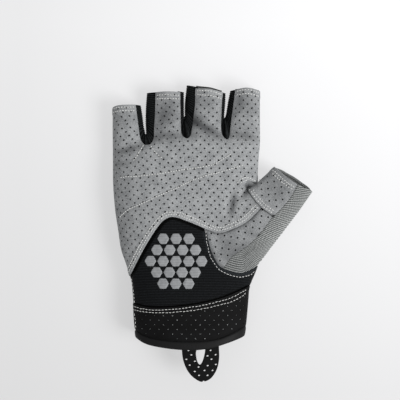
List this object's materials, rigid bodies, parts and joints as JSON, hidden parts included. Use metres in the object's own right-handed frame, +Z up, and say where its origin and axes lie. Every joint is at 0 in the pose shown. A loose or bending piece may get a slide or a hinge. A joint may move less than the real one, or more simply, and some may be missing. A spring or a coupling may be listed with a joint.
{
  "type": "fingerless paddle glove",
  "caption": "Right-hand fingerless glove for paddling: padded palm leather, knitted back, finger webs, stretch heel panel, cuff band and a pull loop, lying palm up.",
  "frame": {"origin": "on the ground, under the middle of the glove's box, where the back of the hand rests", "axes": "+X towards the thumb side, +Y towards the fingertips, +Z up out of the palm"},
  "size_m": [0.1326, 0.1948, 0.0303],
  "materials": {
    "palm_leather": "perforated synthetic suede, matt mid grey",
    "back_knit": "fine ribbed knit, light grey",
    "finger_web": "fine ribbed stretch cloth, black",
    "heel_elastic": "ribbed woven elastic, black",
    "cuff_neoprene": "perforated cloth-faced neoprene, black",
    "binding_tape": "folded woven tape, black",
    "sewing_thread": "twisted polyester thread, pale grey",
    "grip_print": "raised silicone print, pale grey"
  },
  "bodies": {
    "root": {"palm_panel": "palm_leather", "thumb_tip_panel": "palm_leather", "thumb_base_panel": "palm_leather", "back_panel": "back_knit", "thumb_knit": "back_knit", "web_little_ring": "finger_web", "web_ring_middle": "finger_web", "web_middle_index": "finger_web", "heel_panel": "heel_elastic", "cuff_band": "cuff_neoprene", "cuff_back": "cuff_neoprene", "pull_loop": "cuff_neoprene", "hem_binding": "binding_tape"}
  },
  "joints": []
}
